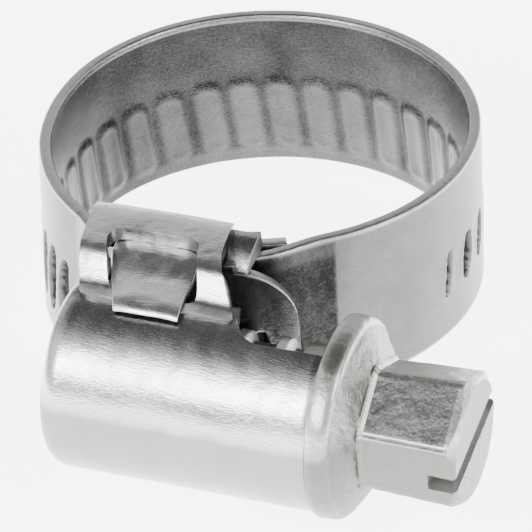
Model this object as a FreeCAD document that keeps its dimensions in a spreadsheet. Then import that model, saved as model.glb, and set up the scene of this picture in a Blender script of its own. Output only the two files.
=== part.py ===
"""Worm-drive hose clamp, 9 mm band, 12-22 mm size, drawn at its widest working size.

Frame: origin at the centre of the clamping ring, half way up the band.  +Z is the ring
axis, the housing sits on the -Y side and the screw lies along +X with its head at +X.
The clamp stands on the lower edges of the housing.

One spring-hard stainless strip makes the band.  Its fixed end is held under the housing,
the loop runs anticlockwise from the right side round the back to the left side, and the
free end (the tail) passes over the fixed end, under the worm, and out on the right.
The loop is drawn as short segments, so that it can close up when the screw is turned.
"""
import FreeCAD
import Part
import math
import os

App = FreeCAD
V = FreeCAD.Vector
doc = FreeCAD.newDocument("hose_clamp")
sheet = doc.addObject("Spreadsheet::Sheet", "dims")

DIMS = [
    # band
    ("band_width", 9.0), ("band_thick", 0.65), ("ring_inner", 10.55), ("crest_inner", 10.39),
    ("slot_len", 4.4), ("slot_wide", 1.15), ("slot_deep", 0.36), ("slot_drop", -1.1), ("slot_lean", 7.0),
    ("bump_len", 4.2), ("bump_wide", 1.45), ("bump_high", 0.16),
    # layers under the housing, radii about the ring axis
    ("saddle_inner", 10.4), ("saddle_outer", 11.1), ("flange_to", 4.2), ("wing_from", 3.05), ("fixed_inner", 11.5), ("fixed_outer", 12.15),
    ("tail_crest", 12.57), ("tail_inner", 12.73), ("tail_outer", 13.38),
    # band layout, degrees from the housing centre line, anticlockwise
    ("fixed_end_angle", 39.0), ("pitch_angle", 9.25), ("tail_from", -30.073922), ("tail_to", 27.8),
    ("bridge_radius_b", 6.621887), ("bridge_len_b", 5.854712), ("bridge_counter", 60.0), ("link_gap", 0.10),
    # housing
    ("screw_axis_y", -16.45), ("screw_axis_z", -0.25), ("hex_draft", 2.2), ("barrel_outer", 4.1), ("barrel_inner", 3.4),
    ("barrel_from", -3.35), ("barrel_to", 9.6), ("sheet_thick", 0.70),
    ("wrap_from", -4.6), ("wrap_to", 4.9), ("window_from", -2.75), ("window_to", 2.0),
    ("tongue_from", -2.0), ("tongue_to", 1.8),
    # screw
    ("worm_radius", 3.32), ("worm_root", 2.8), ("worm_from", -2.6), ("worm_to", 8.0),
    ("collar_radius", 5.0), ("collar_from", 9.72), ("collar_thick", 1.25), ("cone_long", 0.85), ("cone_radius", 3.1),
    ("hex_flats", 5.95), ("hex_to", 16.7), ("hex_turn", -24.3), ("driver_slot_wide", 0.85), ("driver_slot_deep", 1.4), ("driver_slot_turn", 12.7),
]
for i, (name, value) in enumerate(DIMS):
    sheet.set("A%d" % (i + 1), name)
    sheet.set("B%d" % (i + 1), repr(value))
    sheet.setAlias("B%d" % (i + 1), name)
doc.recompute()
d = {name: float(sheet.get(name)) for name, _ in DIMS}
pitch_arc = (d["tail_inner"] + d["band_thick"] / 2) * math.radians(d["pitch_angle"])


def bind(obj, **links):
    for prop, expr in links.items():
        obj.setExpression(prop, expr)
    return obj


def place(obj, x=0, y=0, z=0, axis=(0, 0, 1), deg=0):
    obj.Placement = App.Placement(V(x, y, z), App.Rotation(V(*axis), deg))
    return obj


def cylinder(name, radius, height, angle=None):
    c = doc.addObject("Part::Cylinder", name)
    bind(c, Radius=radius, Height=height)
    if angle is not None:
        if isinstance(angle, str):
            bind(c, Angle=angle)
        else:
            c.Angle = angle
    return c


def box(name, length, width, height):
    b = doc.addObject("Part::Box", name)
    bind(b, Length=length, Width=width, Height=height)
    return b


def cut(name, base, tool):
    c = doc.addObject("Part::Cut", name)
    c.Base, c.Tool = base, tool
    return c


def fuse(name, *shapes):
    f = doc.addObject("Part::MultiFuse", name)
    f.Shapes = list(shapes)
    return f


def common(name, *shapes):
    f = doc.addObject("Part::MultiCommon", name)
    f.Shapes = list(shapes)
    return f


def polygon_sketch(body, name, points, plane="YZ_Plane"):
    sk = body.newObject("Sketcher::SketchObject", name)
    origin = [f for f in body.Origin.OriginFeatures if f.Role == plane][0]
    sk.AttachmentSupport = [(origin, "")]
    sk.MapMode = "FlatFace"
    n = len(points)
    for i in range(n):
        a, b = points[i], points[(i + 1) % n]
        sk.addGeometry(Part.LineSegment(V(a[0], a[1], 0), V(b[0], b[1], 0)), False)
    return sk


def profile_body(name, points, x_from, x_to):
    """A closed profile drawn in the Y-Z plane and padded along X between two sheet cells."""
    body = doc.addObject("PartDesign::Body", name)
    sk = polygon_sketch(body, name + "_profile", points)
    pad = body.newObject("PartDesign::Pad", name + "_pad")
    pad.Profile = sk
    bind(pad, Length="dims.%s - dims.%s" % (x_to, x_from))
    bind(body, **{"Placement.Base.x": "dims.%s" % x_from})
    return body


# ---------------------------------------------------------------- band pieces
def band_arc(tag, r_in, r_out, start_deg, sweep_deg, crest=None, slots=(), mid=None, centre=(0.0, 0.0)):
    """An arc of band about an axis parallel to Z: ribs pressed inwards, slots outside.

    start_deg counts from -Y, anticlockwise.  r_in, r_out and crest are expressions.
    """
    cx, cy = centre
    outer = place(cylinder(tag + "_outer", r_out, "dims.band_width", sweep_deg), cx, cy, -d["band_width"] / 2, deg=start_deg - 90)
    bore = place(cylinder(tag + "_bore", r_in, "dims.band_width + 2"), cx, cy, -d["band_width"] / 2 - 1)
    strip = cut(tag + "_strip", outer, bore)
    if not slots:
        return strip
    ribs, grooves = [], []
    for k, a in enumerate(slots):
        ang = math.radians(a)
        out = V(math.sin(ang), -math.cos(ang), 0)
        tan = V(math.cos(ang), math.sin(ang), 0)
        lean = math.radians(d["slot_lean"])
        up = V(0, 0, 1) * math.cos(lean) + tan * math.sin(lean)
        side = tan * math.cos(lean) - V(0, 0, 1) * math.sin(lean)
        rot = App.Rotation(App.Matrix(side.x, -out.x, up.x, 0, side.y, -out.y, up.y, 0, side.z, -out.z, up.z, 0, 0, 0, 0, 1))
        g = box("%s_slot%d" % (tag, k), "dims.slot_wide", "3", "dims.slot_len")
        r_o = cell_value(r_out)
        corner = V(cx, cy, d["slot_drop"]) + out * (r_o - d["slot_deep"] + 3) - side * (d["slot_wide"] / 2) - up * (d["slot_len"] / 2)
        g.Placement = App.Placement(corner, rot)
        grooves.append(g)
        b = box("%s_rib%d" % (tag, k), "dims.bump_wide", "2", "dims.bump_len")
        corner = V(cx, cy, d["slot_drop"]) + out * (r_o - d["band_thick"] + 1.0) - side * (d["bump_wide"] / 2) - up * (d["bump_len"] / 2)
        b.Placement = App.Placement(corner, rot)
        ribs.append(b)
    rim = place(cylinder(tag + "_rim", r_in + " + 0.1", "dims.band_width"), cx, cy, -d["band_width"] / 2)
    hole = place(cylinder(tag + "_crest", r_in + " - dims.bump_high", "dims.band_width + 2"), cx, cy, -d["band_width"] / 2 - 1)
    ribring = cut(tag + "_ribring", rim, hole)
    rib = common(tag + "_ribs", ribring, fuse(tag + "_ribboxes", *ribs) if len(ribs) > 1 else ribs[0])
    whole = fuse(tag + "_ribbed", strip, rib)
    return cut(tag + "_slotted", whole, fuse(tag + "_slotboxes", *grooves) if len(grooves) > 1 else grooves[0])


def cell_value(expr):
    total, sign = 0.0, 1.0
    for word in expr.replace("+", " + ").replace("-", " - ").split():
        if word == "+":
            sign = 1.0
        elif word == "-":
            sign = -1.0
        else:
            total += sign * (d[word[5:]] if word.startswith("dims.") else float(word))
    return total


final = []


def finish(obj, label):
    obj.Label = label
    final.append((obj, label))
    return obj


# loop of the band: eleven links on the ring, one straight one and one tight one that step
# out over the fixed end
mid_ring = d["ring_inner"] + d["band_thick"] / 2
link_len = 2 * pitch_arc
plan = [(mid_ring, link_len)] * 11 + [(-d["bridge_counter"], link_len), (d["bridge_radius_b"], d["bridge_len_b"])]
heading = math.radians(d["fixed_end_angle"])
px, py = mid_ring * math.sin(heading), -mid_ring * math.cos(heading)
hinges = []
for i, (rad, length) in enumerate(plan):
    hinges.append((px, py, heading))
    last = i == len(plan) - 1
    turn = length / rad
    # the point where the next link starts
    nx = px + rad * (math.sin(heading + turn) - math.sin(heading))
    ny = py - rad * (math.cos(heading + turn) - math.cos(heading))
    drawn, start_h = rad, heading
    if rad < 0:
        # as good as straight: drawn along its chord with a very large radius
        drawn = 900.0
        start_h = math.atan2(ny - py, nx - px) - length / drawn / 2
    # centre of this link's arc lies to the left of the direction of travel
    cx, cy = px - drawn * math.sin(start_h), py + drawn * math.cos(start_h)
    gap = d["link_gap"] / drawn
    start = math.degrees(start_h + gap / 2)
    wide = math.degrees(length / drawn - gap)
    if last:
        wide -= math.degrees(0.22 / drawn)
        # in step with the slots of the tail
        first = length - (d["tail_from"] + 4 * d["pitch_angle"]) * math.radians(1) * (d["tail_inner"] + d["band_thick"] / 2)
        along = [first - pitch_arc, first]
    elif i == 0:
        along = []
    elif i == 1:
        along = [pitch_arc * 1.5]
    else:
        along = [pitch_arc * 0.5, pitch_arc * 1.5]
    slots = [math.degrees(start_h + u / drawn) for u in along]
    name = "band_link_%02d" % (i + 1)
    cell = name + "_mid"
    sheet.set("D%d" % (i + 1), cell)
    sheet.set("E%d" % (i + 1), repr(drawn))
    sheet.setAlias("E%d" % (i + 1), cell)
    d[cell] = drawn
    half = "%.6f" % (d["band_thick"] / 2)
    doc.recompute([sheet])
    link = band_arc(name, "dims.%s - %s" % (cell, half), "dims.%s + %s" % (cell, half), start, wide, crest=True,
                    slots=slots, centre=(cx, cy))
    finish(link, name)
    heading += turn
    px, py = nx, ny

# fixed end: lies in the ring on the right, steps out and runs under the housing over the saddle
def fixed_end():
    w, tk = d["band_width"], d["band_thick"]
    step_from, step_to = math.radians(37.5), math.radians(19.0)
    r0, r1 = mid_ring, d["fixed_inner"] + tk / 2
    pts_o, pts_i = [], []
    angles = [math.radians(d["fixed_end_angle"]) - d["link_gap"] / 2 / mid_ring]
    n = 24
    end = math.radians(-22.0)
    for k in range(1, n + 1):
        angles.append(angles[0] + (end - angles[0]) * k / n)
    for a in angles:
        u = min(1.0, max(0.0, (step_from - a) / (step_from - step_to)))
        r = r0 + (r1 - r0) * (3 * u * u - 2 * u ** 3)
        pts_o.append(V((r + tk / 2) * math.sin(a), -(r + tk / 2) * math.cos(a), -w / 2))
        pts_i.append(V((r - tk / 2) * math.sin(a), -(r - tk / 2) * math.cos(a), -w / 2))
    co, ci = Part.BSplineCurve(), Part.BSplineCurve()
    co.interpolate(pts_o)
    ci.interpolate(pts_i)
    wire = Part.Wire([co.toShape(), Part.LineSegment(pts_o[-1], pts_i[-1]).toShape(), ci.toShape(), Part.LineSegment(pts_i[0], pts_o[0]).toShape()])
    return Part.Face(wire).extrude(V(0, 0, w))


fixed = doc.addObject("Part::Feature", "band_fixed_end_strip")
fixed.Shape = fixed_end()
finish(fixed, "band_fixed_end")

# free end
tail_start = d["tail_from"] + math.degrees(d["link_gap"] / 2 / (d["tail_inner"] + d["band_thick"] / 2))
tail_slots = []
k = 0
while True:
    a = -d["pitch_angle"] * 4 + d["pitch_angle"] * k
    k += 1
    if a < d["tail_from"] + 4.0:
        continue
    if a > d["tail_to"] - 8.0:
        break
    tail_slots.append(a)
tail_strip = band_arc("band_tail", "dims.tail_inner", "dims.tail_outer", tail_start, d["tail_to"] - tail_start, crest=True, slots=tail_slots)
# its tip is rounded in two large corners
corner_tools = []
for s, nm in ((1, "upper"), (-1, "lower")):
    a = math.radians(d["tail_to"])
    arc_r = 3.2
    back = math.degrees(arc_r / d["tail_outer"])
    blk = doc.addObject("Part::Box", "tip_block_" + nm)
    bind(blk, Length="3.4", Width="4", Height="3.4")
    ac = math.radians(d["tail_to"] - back)
    out, tan = V(math.sin(ac), -math.cos(ac), 0), V(math.cos(ac), math.sin(ac), 0)
    m = App.Matrix(tan.x, -out.x, 0, 0, tan.y, -out.y, 0, 0, 0, 0, 1, 0, 0, 0, 0, 1)
    zc = s * (d["band_width"] / 2 - arc_r)
    blk.Placement = App.Placement(out * (d["tail_inner"] + 2.5) + V(0, 0, zc if s > 0 else zc - 3.4), App.Rotation(m))
    cyl = doc.addObject("Part::Cylinder", "tip_round_" + nm)
    cyl.Radius, cyl.Height = arc_r, 5
    cyl.Placement = App.Placement(out * (d["tail_inner"] - 2) + V(0, 0, zc), App.Rotation(App.Vector(0, 0, 1), out))
    corner_tools.append(cut("tip_corner_" + nm, blk, cyl))
tail = cut("band_tail_rounded", tail_strip, fuse("tip_corners", *corner_tools))
finish(tail, "band_tail")

# ---------------------------------------------------------------- saddle with its tongue
def sector(tag, r_in, r_out, a0, a1, z0, height):
    o = place(cylinder(tag + "_o", r_out, "%g" % height, a1 - a0), 0, 0, z0, deg=a0 - 90)
    i = place(cylinder(tag + "_i", r_in, "%g" % (height + 2)), 0, 0, z0 - 1)
    return cut(tag, o, i)


plate = sector("saddle_plate", "dims.saddle_inner", "dims.saddle_outer", -21.0, 27.0, -4.5, 9.0)
def trimmed(tag, z0):
    ring = sector(tag + "_ring", "dims.saddle_inner + 0.5", "13.9", -15.5, 22.0, z0, 0.58)
    side = box(tag + "_side", "4", "8", "3")
    side.Placement.Base = V(d["flange_to"], -16.0, z0 - 1)
    bind(side, **{"Placement.Base.x": "dims.flange_to"})
    return cut(tag, ring, side)


top_flange = trimmed("saddle_top", 4.62)
low_flange = trimmed("saddle_low", -5.2)
ty = d["screw_axis_y"]
tongue = profile_body("saddle_tongue", [
    (-13.2, 5.20), (-14.3, 5.20), (-14.75, 5.36), (-15.7, 5.26), (-16.55, 4.92), (-17.08, 4.40), (-17.24, 3.98),
    (-16.80, 3.95), (-16.70, 4.22), (-16.38, 4.50), (-15.6, 4.72), (-14.6, 4.78), (-13.2, 4.62)], "tongue_from", "tongue_to")
# right-hand end of the saddle, bent up a little beside the roof
wing = profile_body("saddle_wing", [
    (-13.30, 4.64), (-13.05, 5.05), (-12.3, 5.52), (-11.45, 5.74), (-11.05, 5.66), (-10.98, 5.0), (-11.3, 4.66), (-12.2, 4.63)], "wing_from", "flange_to")
web_a = sector("saddle_web_a", "dims.saddle_inner + 0.4", "dims.saddle_outer", -15.5, 22.0, -5.2, 10.4)
saddle = fuse("saddle_whole", plate, web_a, top_flange, low_flange, tongue, wing)
finish(saddle, "saddle")

# ---------------------------------------------------------------- housing, one folded sheet
barrel_o = bind(cylinder("barrel_outside", "dims.barrel_outer", "dims.barrel_to - dims.barrel_from"))
barrel_i = bind(cylinder("barrel_inside", "dims.barrel_inner", "dims.barrel_to - dims.barrel_from + 2"))
for c, off in ((barrel_o, 0.0), (barrel_i, -1.0)):
    c.Placement = App.Placement(V(d["barrel_from"] + off, d["screw_axis_y"], d["screw_axis_z"]), App.Rotation(V(0, 1, 0), 90))
barrel = cut("barrel_tube", barrel_o, barrel_i)
# the sheet that wraps over each edge of the band, front face on the barrel's shoulder
def wrap_profile(s):
    pts = [(-16.32, 3.45), (-16.32, 4.02), (-16.22, 4.36), (-15.72, 5.02), (-15.22, 5.58), (-14.3, 6.00), (-13.1, 6.30), (-11.9, 6.30),
           (-11.1, 6.08), (-10.8, 5.85), (-10.8, 5.40), (-12.9, 5.42), (-14.0, 5.30), (-14.5, 5.05), (-15.0, 4.62), (-15.45, 3.95), (-15.6, 3.35)]
    return [(y, s * z) for y, z in pts]


upper = profile_body("wrap_upper", wrap_profile(1), "wrap_from", "wrap_to")
lower = profile_body("wrap_lower", wrap_profile(-1), "wrap_from", "wrap_to")
def plan_body(name, points, z_from, z_to):
    """A closed outline drawn in the X-Y plane and padded along Z."""
    body = doc.addObject("PartDesign::Body", name)
    sk = polygon_sketch(body, name + "_outline", points, "XY_Plane")
    pad = body.newObject("PartDesign::Pad", name + "_pad")
    pad.Profile = sk
    bind(pad, Length="%g" % (z_to - z_from))
    body.Placement.Base.z = z_from
    return body


# the sheet's side edges: nearly straight on the left, running out to the right at the front
outline_xy = [(-4.50, -10.5), (-3.40, -16.15), (-3.30, -17.4), (4.85, -17.4), (4.62, -16.10), (2.98, -13.35), (2.72, -10.5)]
upper = common("wrap_upper_trimmed", upper, plan_body("wrap_outline_upper", outline_xy, 2.0, 8.0))
lower = common("wrap_lower_trimmed", lower, plan_body("wrap_outline_lower", outline_xy, -8.0, -2.0))
window = box("window", "dims.window_to - dims.window_from", "3.4", "3")
bind(window, **{"Placement.Base.x": "dims.window_from"})
window.Placement.Base.y = -17.6
window.Placement.Base.z = 4.50
shell = fuse("housing_shell", barrel, upper, lower)
hose_bore = place(cylinder("hose_bore", "13.92", "10.44"), 0, 0, -5.22)
ring_bore = place(cylinder("ring_bore", "dims.saddle_inner + 0.4", "40"), 0, 0, -20)
# way for the band: everything of the barrel nearer the ring than the outside of the tail
band_way = place(cylinder("band_way", "dims.tail_outer + 0.12", "9.24"), 0, 0, -4.62)
screw_way = bind(cylinder("screw_way", "dims.barrel_inner", "dims.barrel_to - dims.barrel_from + 2"))
screw_way.Placement = App.Placement(V(d["barrel_from"] - 1, d["screw_axis_y"], d["screw_axis_z"]), App.Rotation(V(0, 1, 0), 90))
# the barrel is open towards the ring beside the wrap, its edge runs out in a curve
neck_way = plan_body("neck_way", [(4.75, -15.9), (5.2, -16.85), (5.66, -17.42), (6.5, -17.80), (8.0, -17.85), (9.9, -17.85), (9.9, -11.5), (4.75, -11.5)], -6.0, 6.0)
tools = fuse("housing_tools", window, hose_bore, ring_bore, band_way, screw_way, neck_way)
housing = cut("housing_cut", shell, tools)
finish(housing, "screw_housing")

# ---------------------------------------------------------------- worm screw
screw = doc.addObject("PartDesign::Body", "worm_screw_body")
outline = [
    (d["worm_from"], 0.0), (d["worm_from"], d["worm_root"] - 0.35), (d["worm_from"] + 0.35, d["worm_root"]),
    (d["worm_to"], d["worm_root"]), (d["worm_to"] + 0.2, d["worm_radius"] - 0.02), (d["collar_from"] - 0.0, d["worm_radius"] - 0.02),
    (d["collar_from"], d["collar_radius"] - 0.15), (d["collar_from"] + 0.15, d["collar_radius"]),
    (d["collar_from"] + d["collar_thick"] - 0.2, d["collar_radius"]), (d["collar_from"] + d["collar_thick"], d["collar_radius"] - 0.2),
    (d["collar_from"] + d["collar_thick"] + d["cone_long"], d["cone_radius"]), (d["collar_from"] + d["collar_thick"] + d["cone_long"], 0.0)]
sk = polygon_sketch(screw, "screw_profile", outline, "XY_Plane")
rev = screw.newObject("PartDesign::Revolution", "screw_turned")
rev.Profile = sk
rev.ReferenceAxis = (sk, ["H_Axis"])
rev.Angle = 360
doc.recompute()
hex_sk = screw.newObject("Sketcher::SketchObject", "hex_profile")
hex_sk.AttachmentSupport = [([f for f in screw.Origin.OriginFeatures if f.Role == "YZ_Plane"][0], "")]
hex_sk.MapMode = "FlatFace"
bind(hex_sk, **{"AttachmentOffset.Base.z": "dims.collar_from + dims.collar_thick + 0.3"})
corner = d["hex_flats"] / math.sqrt(3)
hp = [V(corner * math.cos(math.radians(60 * k + d["hex_turn"])), corner * math.sin(math.radians(60 * k + d["hex_turn"])), 0) for k in range(6)]
for k in range(6):
    hex_sk.addGeometry(Part.LineSegment(hp[k], hp[(k + 1) % 6]), False)
hexpad = screw.newObject("PartDesign::Pad", "hex_head")
hexpad.Profile = hex_sk
bind(hexpad, Length="dims.hex_to - dims.collar_from - dims.collar_thick - 0.3")
hexpad.TaperAngle = -d["hex_draft"]
doc.recompute()
slot_sk = screw.newObject("Sketcher::SketchObject", "driver_slot_profile")
slot_sk.AttachmentSupport = [([f for f in screw.Origin.OriginFeatures if f.Role == "YZ_Plane"][0], "")]
slot_sk.MapMode = "FlatFace"
bind(slot_sk, **{"AttachmentOffset.Base.z": "dims.hex_to"})
a = math.radians(d["driver_slot_turn"])
hw, hl = d["driver_slot_wide"] / 2, 5.0
cs, sn = math.cos(a), math.sin(a)
sp = [V(cs * u - sn * w, sn * u + cs * w, 0) for u, w in ((-hl, -hw), (hl, -hw), (hl, hw), (-hl, hw))]
for k in range(4):
    slot_sk.addGeometry(Part.LineSegment(sp[k], sp[(k + 1) % 4]), False)
slot = screw.newObject("PartDesign::Pocket", "driver_slot")
slot.Profile = slot_sk
bind(slot, Length="dims.driver_slot_deep")
doc.recompute()
before = hexpad.Shape.Volume
if before - slot.Shape.Volume < 1.0:
    slot.Reversed = True
    doc.recompute()
# hexagon's end corners are turned off at about 30 degrees
chamfer = doc.addObject("Part::Cone", "end_chamfer")
bind(chamfer, Radius1="dims.hex_flats * 0.5 - 0.05 + 3 * 1.73205", Radius2="dims.hex_flats * 0.5 - 0.05", Height="3")
chamfer.Placement = App.Placement(V(d["hex_to"] - 3.0, 0, 0), App.Rotation(V(0, 1, 0), 90))
head_keep = doc.addObject("Part::Cylinder", "head_keep")
bind(head_keep, Radius="9", Height="dims.hex_to - 2.9 - dims.worm_from + 4")
head_keep.Placement = App.Placement(V(d["worm_from"] - 4, 0, 0), App.Rotation(V(0, 1, 0), 90))
head_env = fuse("head_envelope", chamfer, head_keep)
turned = common("screw_chamfered", screw, head_env)

# thread: a right-hand ridge, in step with the slots of the tail
r_mesh = d["tail_outer"] - 0.125
lead = r_mesh * math.radians(d["pitch_angle"])
turns = (d["worm_to"] - d["worm_from"] - 0.2) / lead
full = math.ceil(turns) + 2
start_x = -math.ceil(full / 2) * lead
helix = Part.makeHelix(lead, lead * (full + 1), d["worm_root"])
helix.rotate(V(0, 0, 0), V(0, 1, 0), 90)         # axis along +X, starts at -Z side
spine = Part.Wire(helix.Edges)
p0 = helix.Edges[0].valueAt(helix.Edges[0].FirstParameter)
depth = d["worm_radius"] - d["worm_root"]
foot, crest = 0.52, 0.225
rad_dir = V(0, p0.y, p0.z).normalize()
prof = []
for u, h in ((-foot, -0.12), (-crest, depth), (crest, depth), (foot, -0.12)):
    prof.append(p0 + V(u, 0, 0) + rad_dir * h)
profile = Part.makePolygon(prof + [prof[0]])
ridge = Part.Wire(spine).makePipeShell([profile], True, True)
ridge.translate(V(start_x - p0.x, 0, 0))
# turn it so that a crest lies at x = 0 on the side that faces the ring (+Y)
phase = math.degrees(math.atan2(p0.z, p0.y))
ridge.rotate(V(0, 0, 0), V(1, 0, 0), -phase)
trim = Part.makeCylinder(d["worm_radius"] + 1, d["worm_to"] - d["worm_from"] + 0.05, V(d["worm_from"] + 0.15, 0, 0), V(1, 0, 0))
ridge = ridge.common(trim)
ridge_f = doc.addObject("Part::Feature", "thread_ridge")
ridge_f.Shape = ridge
worm = fuse("worm_screw_whole", turned, ridge_f)
doc.recompute()
worm_placed = doc.addObject("Part::Feature", "worm_screw_solid")
ws = worm.Shape.copy()
ws.translate(V(0, d["screw_axis_y"], d["screw_axis_z"]))
worm_placed.Shape = ws
finish(worm_placed, "worm_screw")

doc.recompute()
bad = [o.Name for o in doc.Objects if any(s in ("Invalid", "Error") for s in o.State)]
if bad:
    raise RuntimeError("failed objects: %s" % bad)
os.makedirs("parts", exist_ok=True)
for obj, label in final:
    shp = obj.Shape
    if shp.isNull() or not shp.isValid():
        raise RuntimeError("bad shape: " + label)
    if len(shp.Solids) != 1:
        raise RuntimeError("%s has %d solids" % (label, len(shp.Solids)))
for obj, label in final:
    obj.Shape.exportStep("parts/%s.step" % label)
    bb = obj.Shape.BoundBox
    print("%-16s vol %8.3f  x %6.2f %6.2f  y %6.2f %6.2f  z %6.2f %6.2f" % (label, obj.Shape.Volume, bb.XMin, bb.XMax, bb.YMin, bb.YMax, bb.ZMin, bb.ZMax))
for i, (x, y, h) in enumerate(hinges):
    print("hinge %02d  %.6f %.6f  heading %.3f" % (i + 1, x, y, math.degrees(h)))
print("tail pitch", pitch_arc, "screw lead", lead)
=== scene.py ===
import bpy, bmesh, math
import numpy as np
from mathutils import Vector, Matrix, noise


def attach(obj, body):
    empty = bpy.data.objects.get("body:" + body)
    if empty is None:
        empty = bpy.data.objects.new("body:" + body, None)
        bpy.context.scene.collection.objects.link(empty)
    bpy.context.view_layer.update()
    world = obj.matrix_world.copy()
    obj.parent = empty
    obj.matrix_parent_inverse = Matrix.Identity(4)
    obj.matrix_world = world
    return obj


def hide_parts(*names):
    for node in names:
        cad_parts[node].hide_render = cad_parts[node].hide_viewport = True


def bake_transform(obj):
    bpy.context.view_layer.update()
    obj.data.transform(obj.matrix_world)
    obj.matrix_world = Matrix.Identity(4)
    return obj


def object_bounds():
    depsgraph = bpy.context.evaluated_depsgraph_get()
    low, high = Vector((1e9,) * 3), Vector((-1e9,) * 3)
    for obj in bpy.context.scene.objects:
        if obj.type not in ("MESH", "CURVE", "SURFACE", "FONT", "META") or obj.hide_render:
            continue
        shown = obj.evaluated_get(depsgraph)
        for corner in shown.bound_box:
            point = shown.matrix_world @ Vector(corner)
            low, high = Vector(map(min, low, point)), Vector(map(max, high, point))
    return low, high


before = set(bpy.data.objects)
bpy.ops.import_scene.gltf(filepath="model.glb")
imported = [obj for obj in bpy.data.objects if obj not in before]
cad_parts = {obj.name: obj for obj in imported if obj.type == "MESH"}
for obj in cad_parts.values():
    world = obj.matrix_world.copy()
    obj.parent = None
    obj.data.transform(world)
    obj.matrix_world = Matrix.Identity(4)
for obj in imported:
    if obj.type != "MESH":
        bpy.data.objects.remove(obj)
CAD_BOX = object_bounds()
MM = 0.001
SC = bpy.context.scene

# ------------------------------------------------------------------ helpers


def link(o):
    SC.collection.objects.link(o)
    return o


def make(name, verts, faces, mat, smooth=True, painted_light=None):
    me = bpy.data.meshes.new(name)
    me.from_pydata([tuple(c * MM for c in v) for v in verts], [], faces)
    me.update()
    if smooth:
        me.polygons.foreach_set("use_smooth", [True] * len(me.polygons))
    # per-vertex painted light level (painted shade and painted reflections), mixed into the base colour by the
    # materials
    if painted_light is not None:
        a = me.attributes.new("painted_light", "FLOAT", "POINT")
        a.data.foreach_set("value", np.array(painted_light, np.float32))
    me.materials.append(mat)
    return link(bpy.data.objects.new(name, me))


def finish_mesh(o, thick=None, bevel=None, segs=3, angle=40, offset=-1.0):
    """Gives a sheet its thickness and rounds its edges, and keeps the result as the mesh."""
    if thick:
        m = o.modifiers.new("sheet", "SOLIDIFY")
        m.thickness, m.offset, m.use_even_offset = thick * MM, offset, True
    if bevel:
        m = o.modifiers.new("edge", "BEVEL")
        m.width, m.segments, m.limit_method, m.angle_limit = bevel * MM, segs, "ANGLE", math.radians(angle)
        m.harden_normals = False
    bake(o)


def bake(o):
    dg = bpy.context.evaluated_depsgraph_get()
    dg.update()
    me = bpy.data.meshes.new_from_object(o.evaluated_get(dg), preserve_all_data_layers=True, depsgraph=dg)
    o.modifiers.clear()
    o.data = me
    me.polygons.foreach_set("use_smooth", [True] * len(me.polygons))
    me.update()
    sharp(o)


def sharp(o, deg=38):
    bm = bmesh.new()
    bm.from_mesh(o.data)
    lim = math.radians(deg)
    for e in bm.edges:
        e.smooth = not (len(e.link_faces) == 2 and e.calc_face_angle(0) > lim)
    bm.to_mesh(o.data)
    bm.free()


def join(name, objs):
    bm = bmesh.new()
    mats = []
    for o in objs:
        me = o.data
        base = len(bm.faces)
        off = []
        for m in me.materials:
            if m not in mats:
                mats.append(m)
            off.append(mats.index(m))
        tmp = me.copy()
        tmp.transform(o.matrix_world)
        for p in tmp.polygons:
            p.material_index = off[p.material_index] if off else 0
        bm.from_mesh(tmp)
        bpy.data.meshes.remove(tmp)
    me = bpy.data.meshes.new(name)
    bm.to_mesh(me)
    bm.free()
    for m in mats:
        me.materials.append(m)
    for o in objs:
        bpy.data.objects.remove(o)
    return link(bpy.data.objects.new(name, me))


def grid_faces(nu, nv, wrap_u=False, flip=False):
    f = []
    for i in range(nu if wrap_u else nu - 1):
        for j in range(nv - 1):
            a, b = i * nv + j, ((i + 1) % nu) * nv + j
            q = (a, b, b + 1, a + 1)
            f.append(q[::-1] if flip else q)
    return f


def smooth01(t):
    t = min(1.0, max(0.0, t))
    return t * t * (3 - 2 * t)


def spline(points, n):
    """Catmull-Rom through the points, resampled to n equal steps."""
    P = [np.array(p, float) for p in points]
    P = [2 * P[0] - P[1]] + P + [2 * P[-1] - P[-2]]
    out = []
    for i in range(1, len(P) - 2):
        for k in range(24):
            t = k / 24
            a, b, c, d = P[i - 1], P[i], P[i + 1], P[i + 2]
            out.append(0.5 * ((2 * b) + (c - a) * t + (2 * a - 5 * b + 4 * c - d) * t * t + (-a + 3 * b - 3 * c + d) * t ** 3))
    out.append(P[-2])
    out = np.array(out)
    s = np.concatenate([[0], np.cumsum(np.linalg.norm(np.diff(out, axis=0), axis=1))])
    q = np.linspace(0, s[-1], n)
    return np.stack([np.interp(q, s, out[:, k]) for k in range(out.shape[1])], 1)


# ------------------------------------------------------------------ materials


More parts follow.
